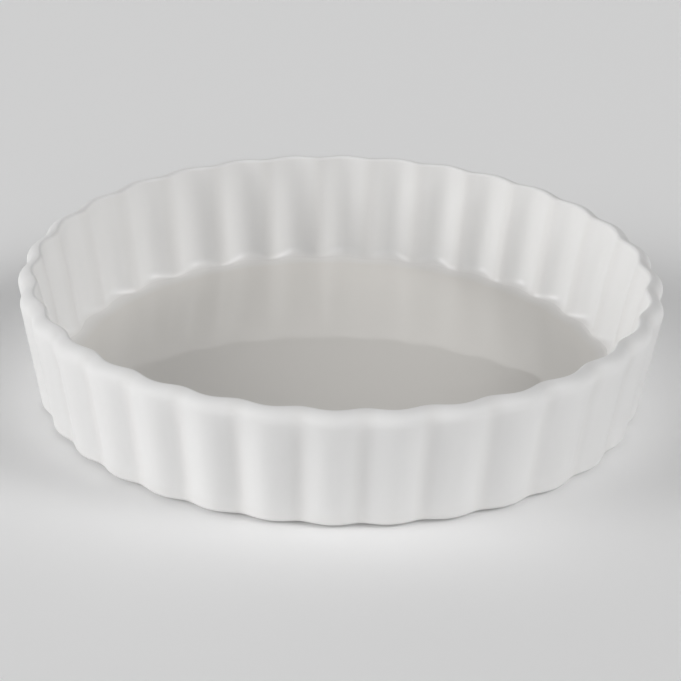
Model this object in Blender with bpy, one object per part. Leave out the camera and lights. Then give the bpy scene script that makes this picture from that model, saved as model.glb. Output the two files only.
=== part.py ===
"""A round fluted tart dish: one piece of glazed porcelain.

Metres, +Z up. The dish stands on z = 0, its axis is the Z axis, and the origin is the centre of
the ring it stands on. It is one closed body, lofted through rings of points. The rings follow the
cross-section from the underside's centre, round the foot and up the outside, over the lip, and
down the inside to the middle of the floor. Each ring is wavy where it crosses the flutes.
"""

import math
from collections import namedtuple

import bmesh
import bpy

# Driving dimensions. A radius is that of the flutes' crests, their outermost points.
RIM_RADIUS = 0.0635
HEIGHT = 0.0251
BASE_RADIUS = 0.0594
WALL_THICKNESS = 0.0035
FLOOR_TOP = 0.0038
FLUTE_COUNT = 32

# The bottom: a low foot ring, inside it a shallow recess, outside it a raised fluted edge.
FOOT_INNER_RADIUS = 0.0503
FOOT_WIDTH = 0.0034
RECESS_DEPTH = 0.0009
FOOT_BEVEL = 0.0006
EDGE_LIFT = 0.0005
EDGE_ROUND = 0.0010

# Flute depths, from crest to valley.
DEPTH_OUTSIDE = 0.0015
DEPTH_INSIDE = 0.0018
DEPTH_LIP_OUTER = 0.0010
DEPTH_LIP_INNER = 0.0014
DEPTH_BOTTOM_EDGE = 0.0010
DEPTH_FLOOR_EDGE = 0.0009

FLOOR_FILLET = 0.0025
LIP_FADE = 0.0045  # how far below the top the flutes reach their full depth

# How round a valley is: near 0 it is a sharp crease, and above 1 the wave is a plain cosine.
VALLEY_OUTSIDE = 0.30
VALLEY_INSIDE = 0.55

COLUMNS_PER_FLUTE = 6
COLUMNS = FLUTE_COUNT * COLUMNS_PER_FLUTE

Ring = namedtuple("Ring", "radius height depth valley")


def round_ring(radius, height):
    return Ring(radius, height, 0.0, VALLEY_OUTSIDE)


def arc_points(centre_radius, centre_height, size, degrees):
    """Points on an arc of the cross-section: 0 degrees points outwards, and 90 up."""
    for angle in map(math.radians, degrees):
        yield centre_radius + size * math.cos(angle), centre_height + size * math.sin(angle)


def outside_radius(height):
    """The outer wall's straight flare, from the bottom edge to the lip."""
    low, high = EDGE_LIFT + EDGE_ROUND, HEIGHT - WALL_THICKNESS / 2
    share = (height - low) / (high - low)
    return BASE_RADIUS + share * (RIM_RADIUS - BASE_RADIUS)


def underside_rings():
    foot_outer_radius = FOOT_INNER_RADIUS + FOOT_WIDTH
    return [
        round_ring(FOOT_INNER_RADIUS - FOOT_BEVEL, RECESS_DEPTH),
        round_ring(FOOT_INNER_RADIUS, 0.0),
        round_ring(foot_outer_radius, 0.0),
        round_ring(foot_outer_radius + FOOT_BEVEL, EDGE_LIFT),
    ]


def outside_rings():
    edge = arc_points(BASE_RADIUS - EDGE_ROUND, EDGE_LIFT + EDGE_ROUND, EDGE_ROUND, (-90, -45, 0))
    rings = [Ring(radius, height, DEPTH_BOTTOM_EDGE, VALLEY_OUTSIDE) for radius, height in edge]
    fade_start = HEIGHT - LIP_FADE
    rings.append(Ring(outside_radius(fade_start), fade_start, DEPTH_OUTSIDE, VALLEY_OUTSIDE))
    return rings


def lip_rings():
    """The half-round lip, whose waves turn from the outer wall's into the inner wall's."""
    size = WALL_THICKNESS / 2
    degrees = (0, 45, 90, 135, 180)
    rings = []
    for degree, point in zip(degrees, arc_points(RIM_RADIUS - size, HEIGHT - size, size, degrees)):
        share = degree / 180
        depth = DEPTH_LIP_OUTER + share * (DEPTH_LIP_INNER - DEPTH_LIP_OUTER)
        valley = VALLEY_OUTSIDE + share * (VALLEY_INSIDE - VALLEY_OUTSIDE)
        rings.append(Ring(*point, depth, valley))
    return rings


def inside_rings():
    fade_start = HEIGHT - LIP_FADE
    fillet_top = FLOOR_TOP + FLOOR_FILLET
    fillet_centre = outside_radius(fillet_top) - WALL_THICKNESS - FLOOR_FILLET
    inner_radius = outside_radius(fade_start) - WALL_THICKNESS
    rings = [Ring(inner_radius, fade_start, DEPTH_INSIDE, VALLEY_INSIDE)]
    degrees = (0, -45, -90)
    for degree, point in zip(degrees, arc_points(fillet_centre, fillet_top, FLOOR_FILLET, degrees)):
        share = -degree / 90
        depth = DEPTH_INSIDE + share * (DEPTH_FLOOR_EDGE - DEPTH_INSIDE)
        rings.append(Ring(*point, depth, VALLEY_INSIDE))
    return rings


def crest_share(angle, valley):
    """1 on a flute's crest and 0 in its valley: wide round lobes with narrower valleys."""
    half_phase = FLUTE_COUNT * angle / 2
    return (math.hypot(math.cos(half_phase), valley) - valley) / (math.hypot(1, valley) - valley)


def add_ring(mesh, ring):
    vertices = []
    for column in range(COLUMNS):
        angle = 2 * math.pi * column / COLUMNS
        radius = ring.radius - ring.depth * (1 - crest_share(angle, ring.valley))
        point = (radius * math.cos(angle), radius * math.sin(angle), ring.height)
        vertices.append(mesh.verts.new(point))
    return vertices


def loft(rings):
    """A closed body through the rings, with a flat face across the first and the last."""
    mesh = bmesh.new()
    loops = [add_ring(mesh, ring) for ring in rings]
    for lower, upper in zip(loops, loops[1:]):
        for column in range(COLUMNS):
            after = (column + 1) % COLUMNS
            mesh.faces.new((lower[column], lower[after], upper[after], upper[column]))
    mesh.faces.new(reversed(loops[0]))
    mesh.faces.new(loops[-1])
    bmesh.ops.recalc_face_normals(mesh, faces=mesh.faces)
    return mesh


def glaze():
    material = bpy.data.materials.new("white_glaze")
    material.use_nodes = True
    shader = material.node_tree.nodes["Principled BSDF"]
    shader.inputs["Base Color"].default_value = (0.80, 0.79, 0.77, 1.0)
    shader.inputs["Roughness"].default_value = 0.12
    shader.inputs["Metallic"].default_value = 0.0
    return material


def add_object(name, mesh, material):
    data = bpy.data.meshes.new(name)
    mesh.to_mesh(data)
    mesh.free()
    data.materials.append(material)
    data.shade_smooth()
    data.set_sharp_from_angle(angle=math.radians(40))
    bpy.context.scene.collection.objects.link(bpy.data.objects.new(name, data))


def clear_scene():
    for leftover in list(bpy.data.objects):
        bpy.data.objects.remove(leftover, do_unlink=True)


clear_scene()
add_object(
    "tart_dish",
    loft(underside_rings() + outside_rings() + lip_rings() + inside_rings()),
    glaze(),
)
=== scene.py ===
"""The looks of a fluted porcelain tart dish: one glazed casting on a plain pale floor."""

import math

import bpy
import numpy as np
from mathutils import Matrix, Vector


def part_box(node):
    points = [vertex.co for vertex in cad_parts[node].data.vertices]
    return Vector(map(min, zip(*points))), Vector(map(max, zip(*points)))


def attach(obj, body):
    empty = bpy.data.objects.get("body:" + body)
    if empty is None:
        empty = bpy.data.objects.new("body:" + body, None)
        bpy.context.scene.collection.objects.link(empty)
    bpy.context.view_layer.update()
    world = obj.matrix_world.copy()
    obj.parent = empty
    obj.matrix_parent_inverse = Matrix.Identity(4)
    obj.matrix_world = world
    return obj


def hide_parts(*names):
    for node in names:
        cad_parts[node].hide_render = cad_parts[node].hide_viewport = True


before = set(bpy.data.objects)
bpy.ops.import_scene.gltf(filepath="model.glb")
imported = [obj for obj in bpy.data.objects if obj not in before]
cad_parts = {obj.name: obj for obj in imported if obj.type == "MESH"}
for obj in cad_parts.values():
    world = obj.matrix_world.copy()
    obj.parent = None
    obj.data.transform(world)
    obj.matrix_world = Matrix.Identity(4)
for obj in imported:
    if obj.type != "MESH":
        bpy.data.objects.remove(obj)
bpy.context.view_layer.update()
DISH_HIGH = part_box("tart_dish")[1]

MM = 0.001

# The section's main sizes, on the crests of the flutes
RIM_RADIUS = DISH_HIGH.x
HEIGHT = DISH_HIGH.z
BASE_RADIUS = 59.4 * MM
WALL = 3.3 * MM
FLOOR_TOP = 3.8 * MM
FLOOR_FILLET = 2.6 * MM
LIP_OUTER_ROUND = 2.5 * MM
LIP_INNER_ROUND = 0.6 * MM
FOOT_INNER = 50.3 * MM
FOOT_OUTER = 53.7 * MM
RECESS_DEPTH = 0.9 * MM
EDGE_LIFT = 0.5 * MM
EDGE_ROUND = 1.0 * MM
SMALL_ROUND = 0.3 * MM
TINY_ROUND = 0.2 * MM
LEAN = math.atan((RIM_RADIUS - BASE_RADIUS) / (HEIGHT - WALL / 2 - EDGE_LIFT - EDGE_ROUND))

# Where the flutes and the glaze change: the radius underneath at which the base's edge begins to,
# the height at which the outer wall has finished, how long the changes to and from the lip are, and
# the radius at which the floor has finished
EDGE_FADE_START = FOOT_OUTER + 2.0 * MM
FLUTES_FULL_HEIGHT = 5.0 * MM
LIP_FADE = 5.0 * MM
INNER_FADE = 9.0 * MM
FLOOR_FADE_END = 51.0 * MM

# The innermost ring of points underneath, the ring where the floor's even middle begins, and how
# far a stretch's first point lies past the last point of the stretch before it
UNDERSIDE_MIDDLE = 0.5 * MM
FLOOR_MIDDLE = 40.0 * MM
NEXT_POINT = 0.1 * MM

# How far the section is evened out, how finely it is sampled for that, and how it is then divided
# into rows: one for so much length or so much turn, all scaled to make the number of rows
SOFTNESS = 0.25 * MM
SAMPLE = 0.05 * MM
ROW_LENGTH = 1.5 * MM
ROW_TURN = math.radians(5)
ROWS = 92

# The flutes and the glaze at places along the section: how far each valley is cut back from the
# crests, how sharp the valley is (0 is a cusp), and whether the glaze pooled (0) or drained (1)
FLAT_UNDERNEATH = (0.0, 0.45, 0.5)
BASE_EDGE = (1.0 * MM, 0.45, 0.6)
OUTER_WALL = (1.5 * MM, 0.50, 0.65)
LIP_OUTSIDE = (1.0 * MM, 0.60, 1.0)
LIP_INSIDE = (1.1 * MM, 0.80, 1.0)
INNER_WALL = (1.6 * MM, 0.80, 0.65)
WALL_FOOT = (0.6 * MM, 0.80, 0.36)
FLOOR = (0.0, 0.80, 0.0)

# How many flutes and columns of points there are, and how much closer together the columns are
# in a valley: 0 is evenly spaced
FLUTES = 32
COLUMNS = FLUTES * 26
VALLEY_CROWDING = 0.5

# How unevenly the flutes are spaced: (waves round the dish, size in degrees, direction in degrees)
SPACING_WOBBLE = ((0, 0.82, 0), (1, 0.71, 80), (2, 1.69, 41), (3, 0.46, 144))

# The camera: what it looks at is measured from the middle of the base
CAMERA_DISTANCE = 9.74 * RIM_RADIUS
CAMERA_ELEVATION = math.radians(26.14)
CAMERA_ROLL = math.radians(1.58)
CAMERA_AIM = Vector((0.0017, 0.0, 0.160)) * RIM_RADIUS
LENS = 163.9

# The glaze's colours. The valleys' painted shade has this share at the bottom of a valley and is
# gone this part of the way up to the crest, and a valley takes all of it from this depth on. The
# floor's tint, the pooled glaze's warmth together with painted shade that darkens the dish's floor,
# gives way between these two places on the scale from pooled (0) to drained (1), and the roughness
# goes from its first value to its second over the whole of that scale, give or take the unevenness
WHITE = (0.86, 0.857, 0.852)
WHITE_CLOUD = (0.848, 0.844, 0.838)
VALLEY_PAINTED_SHADE = (0.81, 0.802, 0.792)
VALLEY_PAINTED_SHADE_SHARE = 0.6
VALLEY_PAINTED_SHADE_REACH = 0.35
DEEP_VALLEY = 1.0 * MM
POOLED_TINT_AND_SHADE = (0.79, 0.768, 0.732)
POOLED_TO_DRAINED = (0.1, 0.64)
ROUGHNESS = (0.045, 0.55)
ROUGHNESS_UNEVEN = (-0.006, 0.012)

# The bare foot's two colours and its roughness, and the height below which the foot is bare
BARE_DARK = (0.60, 0.56, 0.50)
BARE_LIGHT = (0.70, 0.67, 0.61)
BARE_ROUGHNESS = (0.62, 0.78)
BARE_HEIGHT = 0.05 * MM

# Noises: (waves in a metre, detail); the ranges of a noise that are spread over a change of colour
# or roughness; and how high the bumps are
CLOUDS = (45.0, 3.0)
SPECKLE = (160.0, 4.0)
FLOW = (60.0, 1.0)
ORANGE_PEEL = (420.0, 2.0)
GRAINS = (2500.0, 4.0)
NOISE_RANGE = (0.3, 0.7)
FINE_NOISE_RANGE = (0.35, 0.65)
FLOW_HEIGHT = 0.03 * MM
PEEL_HEIGHT = 0.004 * MM
GRAIN_HEIGHT = 0.02 * MM

scene = bpy.context.scene


# ---------------------------------------------------------------- camera
def add_camera():
    """The camera, in front of the dish and above it, rolled a little about its line of sight."""
    data = bpy.data.cameras.new("camera")
    data.lens = LENS
    data.sensor_width = 36.0
    data.clip_start = 0.01
    data.clip_end = 50.0
    camera = bpy.data.objects.new("camera", data)
    scene.collection.objects.link(camera)
    back = Vector((0.0, -math.cos(CAMERA_ELEVATION), math.sin(CAMERA_ELEVATION)))
    camera.location = back * CAMERA_DISTANCE
    forward = (CAMERA_AIM - camera.location).normalized()
    level = forward.to_track_quat("-Z", "Y").to_matrix()
    camera.rotation_mode = "QUATERNION"
    camera.rotation_quaternion = (Matrix.Rotation(-CAMERA_ROLL, 3, forward) @ level).to_quaternion()
    scene.camera = camera


# ---------------------------------------------------------------- the dish's section
def straight(start, end, count):
    """Evenly spaced (radius, height) points from start to just before end."""
    return [tuple(a + (b - a) * k / count for a, b in zip(start, end)) for k in range(count)]


def rounded(centre, size, start, stop, count):
    """(radius, height) points along an arc, in degrees from outwards, anticlockwise."""
    angles = np.radians(np.linspace(start, stop, count + 1))
    return [(centre[0] + size * math.cos(a), centre[1] + size * math.sin(a)) for a in angles]


def stretch(points, start, end):
    """Rows of radius, height and the three values, which change smoothly from start to end."""
    path = np.array(points)
    steps = np.hypot(*np.diff(path, axis=0).T)
    share = (np.append(0, np.cumsum(steps)) / steps.sum())[:, None]
    eased = share * share * (3 - 2 * share)
    return np.hstack([path, np.array(start) + eased * (np.array(end) - np.array(start))])


def by_wall(height, inset=0.0):
    """A (radius, height) point this far in from the outer wall, which leans outwards to the lip."""
    above_base = height - EDGE_LIFT - EDGE_ROUND
    return BASE_RADIUS + above_base * math.tan(LEAN) - inset / math.cos(LEAN), height


def underside():
    """The recess, the foot ring and the step up to the base's edge."""
    inner, outer, small, tiny = FOOT_INNER, FOOT_OUTER, SMALL_ROUND, TINY_ROUND
    points = straight((UNDERSIDE_MIDDLE, RECESS_DEPTH), (inner - 3 * small, RECESS_DEPTH), 3)
    points += rounded((inner - 2 * small, RECESS_DEPTH - small), small, 90, 0, 3)
    points += rounded((inner, small), small, 180, 270, 3)
    points += rounded((outer, small), small, 270, 360, 3)
    points += rounded((outer + small + tiny, EDGE_LIFT - tiny), tiny, 180, 90, 3)
    return stretch(points, FLAT_UNDERNEATH, FLAT_UNDERNEATH)


def outside():
    """The base's rounded edge and the leaning wall, up to the lip."""
    lean = math.degrees(LEAN)
    edge = rounded(by_wall(EDGE_LIFT + EDGE_ROUND, EDGE_ROUND), EDGE_ROUND, -90, -lean, 12)
    top = HEIGHT - LIP_OUTER_ROUND * (1 + math.sin(LEAN))
    heights = (edge[-1][1], FLUTES_FULL_HEIGHT, top - LIP_FADE, top)
    low, full, fade, lip = [by_wall(height) for height in heights]
    return [
        stretch(straight((EDGE_FADE_START, EDGE_LIFT), edge[0], 20), FLAT_UNDERNEATH, BASE_EDGE),
        stretch(edge, BASE_EDGE, BASE_EDGE),
        stretch(straight(low, full, 30)[1:], BASE_EDGE, OUTER_WALL),
        stretch(straight(full, fade, 90), OUTER_WALL, OUTER_WALL),
        stretch(straight(fade, lip, 50), OUTER_WALL, LIP_OUTSIDE),
    ]


def inside():
    """The lip, the inner wall, its foot and the outermost part of the floor."""
    lean = math.degrees(LEAN)
    outer, inner = LIP_OUTER_ROUND, LIP_INNER_ROUND
    lip = rounded(by_wall(HEIGHT - outer, outer), outer, -lean, 90, 24)
    lip += rounded(by_wall(HEIGHT - inner, WALL - inner), inner, 90, 180 - lean, 16)
    foot_height = FLOOR_TOP + FLOOR_FILLET
    foot = rounded(by_wall(foot_height, WALL + FLOOR_FILLET), FLOOR_FILLET, -lean, -90, 40)
    heights = (lip[-1][1] - NEXT_POINT, HEIGHT - inner - INNER_FADE, foot[0][1])
    below, fade, low = [by_wall(height, WALL) for height in heights]
    start, end = [(radius, FLOOR_TOP) for radius in (foot[-1][0] - NEXT_POINT, FLOOR_FADE_END)]
    return [
        stretch(lip, LIP_OUTSIDE, LIP_INSIDE),
        stretch(straight(below, fade, 50), LIP_INSIDE, INNER_WALL),
        stretch(straight(fade, low, 70), INNER_WALL, INNER_WALL),
        stretch(foot, INNER_WALL, WALL_FOOT),
        stretch(straight(start, end, 40), WALL_FOOT, FLOOR),
    ]


def softened(rows):
    """The rows evened out along the section, so that no curve starts or stops suddenly."""
    length = np.append(0, np.cumsum(np.hypot(*np.diff(rows[:, :2], axis=0).T)))
    even = np.arange(0, length[-1], SAMPLE)
    fine = np.column_stack([np.interp(even, length, column) for column in rows.T])
    reach = round(4 * SOFTNESS / SAMPLE)
    weights = np.exp(-0.5 * (np.arange(-reach, reach + 1) * SAMPLE / SOFTNESS) ** 2)
    weights /= weights.sum()
    inner = [np.convolve(column, weights, mode="valid") for column in fine.T]
    return np.concatenate([fine[:1], np.column_stack(inner), fine[-1:]])


def section_rows():
    """The whole section, from the middle underneath round to the middle of the floor, with more
    rows where it turns."""
    fine = softened(np.concatenate(outside() + inside()))
    move = np.diff(fine[:, :2], axis=0)
    turn = np.abs(np.diff(np.unwrap(np.arctan2(move[:, 1], move[:, 0]))))
    effort = np.hypot(*move.T) / ROW_LENGTH + np.append(0, turn) / ROW_TURN
    effort = np.append(0, np.cumsum(effort))
    chosen = np.linspace(0, effort[-1], ROWS)
    shaped = np.column_stack([np.interp(chosen, effort, column) for column in fine.T])
    middle = stretch(straight((FLOOR_MIDDLE, FLOOR_TOP), (0, FLOOR_TOP), 3), FLOOR, FLOOR)
    return np.concatenate([underside(), shaped, middle])


# ---------------------------------------------------------------- the dish's mesh
def crest_share(angle, valley):
    """1 on a crest and 0 in a valley: wide round lobes, whose valleys sharpen as valley nears 0."""
    return (np.hypot(np.cos(FLUTES * angle / 2), valley) - valley) / (np.hypot(1, valley) - valley)


def column_angles():
    """Each column's place in an even ring of flutes, and its angle on the dish. The columns are
    closer together towards the valleys, and the flutes are spaced a little unevenly."""
    even = np.linspace(0, 2 * math.pi, COLUMNS, endpoint=False)
    even = even + VALLEY_CROWDING * np.sin(FLUTES * even) / FLUTES

    def shift(angle):
        return sum(
            math.radians(size) * np.cos(waves * angle - math.radians(direction))
            for waves, size, direction in SPACING_WOBBLE
        )

    return even, even + shift(even + shift(even))


def dish_points(rows):
    """The mesh's points, and how near each is to a crest: 1 there and where nothing is fluted."""
    even, angle = column_angles()
    radius, height, depth, valley = (rows[:, k][:, None] for k in range(4))
    crest = crest_share(even[None, :], valley)
    radius = radius - depth * (1 - crest)
    height = np.broadcast_to(height, radius.shape)
    points = np.stack([radius * np.cos(angle), radius * np.sin(angle), height], axis=-1)
    return points, 1 - (1 - crest) * np.minimum(depth / DEEP_VALLEY, 1)


def add_dish():
    """One closed mesh: rings of points along the section, and a flat face in each middle."""
    rows = section_rows()
    points, crest = dish_points(rows)
    ring_count = len(points)
    ring = np.arange(ring_count - 1)[:, None]
    column = np.arange(COLUMNS)[None, :]
    after = (column + 1) % COLUMNS
    corners = (ring * COLUMNS + column, ring * COLUMNS + after,
               (ring + 1) * COLUMNS + after, (ring + 1) * COLUMNS + column)
    faces = np.stack(corners, axis=-1).reshape(-1, 4).tolist()
    faces.append(list(range(COLUMNS))[::-1])
    faces.append([(ring_count - 1) * COLUMNS + k for k in range(COLUMNS)])
    data = bpy.data.meshes.new("glazed_dish")
    data.from_pydata(points.reshape(-1, 3).tolist(), [], faces)
    data.shade_smooth()
    drained = np.repeat(rows[:, 4], COLUMNS)
    for name, values in (("drained", drained), ("crest", crest.ravel())):
        attribute = data.attributes.new(name, "FLOAT", "POINT")
        attribute.data.foreach_set("value", values.astype(np.float32))
    ring_radius, ring_height = rows[:, 0], rows[:, 1]
    on_ground = (ring_height < BARE_HEIGHT) & (ring_radius > FOOT_INNER - SMALL_ROUND)
    bare = np.repeat(on_ground[:-1] & on_ground[1:], COLUMNS)
    data.materials.append(glaze_material())
    data.materials.append(bare_material())
    data.polygons.foreach_set("material_index", np.append(bare, (False, False)).astype(np.int32))
    dish = bpy.data.objects.new("glazed_dish", data)
    scene.collection.objects.link(dish)
    return dish


# ---------------------------------------------------------------- materials
def new_material(name):
    """A new material and its shader, with the refractive index of glaze."""
    material = bpy.data.materials.new(name)
    material.use_nodes = True
    shader = material.node_tree.nodes["Principled BSDF"]
    shader.inputs["IOR"].default_value = 1.5
    return material, shader


def noise(material, waves, detail):
    """Noise through the dish's body: waves is how many there are in a metre."""
    tree = material.node_tree
    place = tree.nodes.new("ShaderNodeTexCoord")
    node = tree.nodes.new("ShaderNodeTexNoise")
    node.inputs["Scale"].default_value = waves
    node.inputs["Detail"].default_value = detail
    tree.links.new(place.outputs["Object"], node.inputs["Vector"])
    return node.outputs["Fac"]


def attribute(material, name):
    """One of the values that add_dish() keeps on the mesh's points."""
    node = material.node_tree.nodes.new("ShaderNodeAttribute")
    node.attribute_name = name
    return node.outputs["Fac"]


def ranged(material, value, source, target):
    """value's source range spread over the target range, and held at its ends."""
    node = material.node_tree.nodes.new("ShaderNodeMapRange")
    for socket, number in zip(node.inputs[1:5], (*source, *target)):
        socket.default_value = number
    material.node_tree.links.new(value, node.inputs[0])
    return node.outputs[0]


def summed(material, first, second):
    """The sum of two sockets' values."""
    node = material.node_tree.nodes.new("ShaderNodeMath")
    node.operation = "ADD"
    material.node_tree.links.new(first, node.inputs[0])
    material.node_tree.links.new(second, node.inputs[1])
    return node.outputs[0]


def mixed(material, share, first, second):
    """first and second are colours or colour sockets: share 0 is all first."""
    node = material.node_tree.nodes.new("ShaderNodeMix")
    node.data_type = "RGBA"
    material.node_tree.links.new(share, node.inputs["Factor"])
    for socket, colour in zip((node.inputs[6], node.inputs[7]), (first, second)):
        if isinstance(colour, tuple):
            socket.default_value = (*colour, 1.0)
        else:
            material.node_tree.links.new(colour, socket)
    return node.outputs[2]


def bumped(material, height, size, under=None):
    """A bump as high as size, over the bump called under."""
    node = material.node_tree.nodes.new("ShaderNodeBump")
    node.inputs["Distance"].default_value = size
    material.node_tree.links.new(height, node.inputs["Height"])
    if under is not None:
        material.node_tree.links.new(under, node.inputs["Normal"])
    return node.outputs["Normal"]


def glaze_material():
    """White glaze: it pools to a warm, smooth mirror on the floor, whose colour also carries
    painted shade there, is rougher on the walls and roughest on the lip, has painted shade that
    darkens the valleys a little, and has slow waves and an orange peel."""
    material, shader = new_material("white_glaze")
    link = material.node_tree.links.new
    drained, crest = attribute(material, "drained"), attribute(material, "crest")
    clouds = ranged(material, noise(material, *CLOUDS), NOISE_RANGE, (0.0, 1.0))
    colour = mixed(material, clouds, WHITE_CLOUD, WHITE)
    # Painted shade: the colour darkens towards the bottom of each valley
    valley_shade = ranged(material, crest, (0.0, VALLEY_PAINTED_SHADE_REACH), (VALLEY_PAINTED_SHADE_SHARE, 0.0))
    colour = mixed(material, valley_shade, colour, VALLEY_PAINTED_SHADE)
    # The floor's colour: the pooled glaze's warmth, and painted shade that darkens the dish's floor
    pooled = ranged(material, drained, POOLED_TO_DRAINED, (1.0, 0.0))
    link(mixed(material, pooled, colour, POOLED_TINT_AND_SHADE), shader.inputs["Base Color"])
    rough = ranged(material, drained, (0.0, 1.0), ROUGHNESS)
    uneven = ranged(material, noise(material, *SPECKLE), NOISE_RANGE, ROUGHNESS_UNEVEN)
    link(summed(material, rough, uneven), shader.inputs["Roughness"])
    flow = bumped(material, noise(material, *FLOW), FLOW_HEIGHT)
    peel = bumped(material, noise(material, *ORANGE_PEEL), PEEL_HEIGHT, flow)
    link(peel, shader.inputs["Normal"])
    return material


def bare_material():
    """The foot ring's resting face, ground free of glaze: fine, matt and a little warmer."""
    material, shader = new_material("bare_foot")
    link = material.node_tree.links.new
    grains = noise(material, *GRAINS)
    shade = ranged(material, grains, FINE_NOISE_RANGE, (0.0, 1.0))
    link(mixed(material, shade, BARE_DARK, BARE_LIGHT), shader.inputs["Base Color"])
    link(ranged(material, grains, NOISE_RANGE, BARE_ROUGHNESS), shader.inputs["Roughness"])
    link(bumped(material, grains, GRAIN_HEIGHT), shader.inputs["Normal"])
    return material


# ---------------------------------------------------------------- floor and light
FLOOR_HALF_SIZE = 3.0
FLOOR_GREY = (0.86, 0.86, 0.86, 1.0)
FLOOR_ROUGHNESS = 0.9
FLOOR_GLOW = 0.05


def add_floor():
    """A plain pale floor that glows faintly, so that the light needn't be strong enough to whiten
    it."""
    size = FLOOR_HALF_SIZE
    corners = [(-size, -size, 0), (size, -size, 0), (size, size, 0), (-size, size, 0)]
    data = bpy.data.meshes.new("floor")
    data.from_pydata(corners, [], [(0, 1, 2, 3)])
    floor = bpy.data.objects.new("floor", data)
    scene.collection.objects.link(floor)
    material = bpy.data.materials.new("floor")
    material.use_nodes = True
    shader = material.node_tree.nodes["Principled BSDF"]
    shader.inputs["Base Color"].default_value = FLOOR_GREY
    shader.inputs["Roughness"].default_value = FLOOR_ROUGHNESS
    shader.inputs["Emission Color"].default_value = (1, 1, 1, 1)
    shader.inputs["Emission Strength"].default_value = FLOOR_GLOW
    data.materials.append(material)


# The soft light round the dish: (name, azimuth, elevation, narrowness, strength), in degrees;
# azimuth 0 is to the right, 90 behind, 180 to the left and 270 in front
STUDIO = (
    ("left_panel", 196, 26, 45, 8.44),
    ("left_front_low_panel", 208, 14, 45, 3.62),
    ("left_back_panel", 180, 20, 45, 3.22),
    ("right_front_panel", 300, 24, 45, 2.33),
    ("right_high_panel", 342, 38, 45, 10.5),
    ("right_back_high_panel", 8, 44, 45, 0.69),
    ("front_glow", 262, 12, 14, 1.06),
    ("back_left_glow", 120, 8, 14, 1.88),
    ("back_right_glow", 60, 8, 14, 0.49),
)


def add_studio():
    """A dark room with soft panels of light: each fades out smoothly from its middle."""
    world = bpy.data.worlds.new("studio")
    world.use_nodes = True
    scene.world = world
    tree = world.node_tree
    place = tree.nodes.new("ShaderNodeTexCoord")

    def maths(operation, value, other):
        """The operation on the socket value and on other, which is a number or a socket too."""
        node = tree.nodes.new("ShaderNodeMath")
        node.operation = operation
        tree.links.new(value, node.inputs[0])
        if isinstance(other, (int, float)):
            node.inputs[1].default_value = other
        else:
            tree.links.new(other, node.inputs[1])
        return node.outputs[0]

    light = None
    for name, azimuth, elevation, narrowness, strength in STUDIO:
        turn, rise = math.radians(azimuth), math.radians(elevation)
        towards = tree.nodes.new("ShaderNodeVectorMath")
        towards.operation = "DOT_PRODUCT"
        towards.name = name
        towards.inputs[1].default_value = (
            math.cos(turn) * math.cos(rise), math.sin(turn) * math.cos(rise), math.sin(rise))
        tree.links.new(place.outputs["Generated"], towards.inputs[0])
        front = maths("MAXIMUM", towards.outputs["Value"], 0.0)
        fade = maths("POWER", front, narrowness)
        panel = maths("MULTIPLY", fade, strength)
        light = panel if light is None else maths("ADD", panel, light)
    background = tree.nodes["Background"]
    background.inputs["Color"].default_value = (1, 1, 1, 1)
    tree.links.new(light, background.inputs["Strength"])


add_camera()
dish = add_dish()
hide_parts("tart_dish")
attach(dish, "root")
add_floor()
add_studio()
scene.view_settings.view_transform = "Standard"
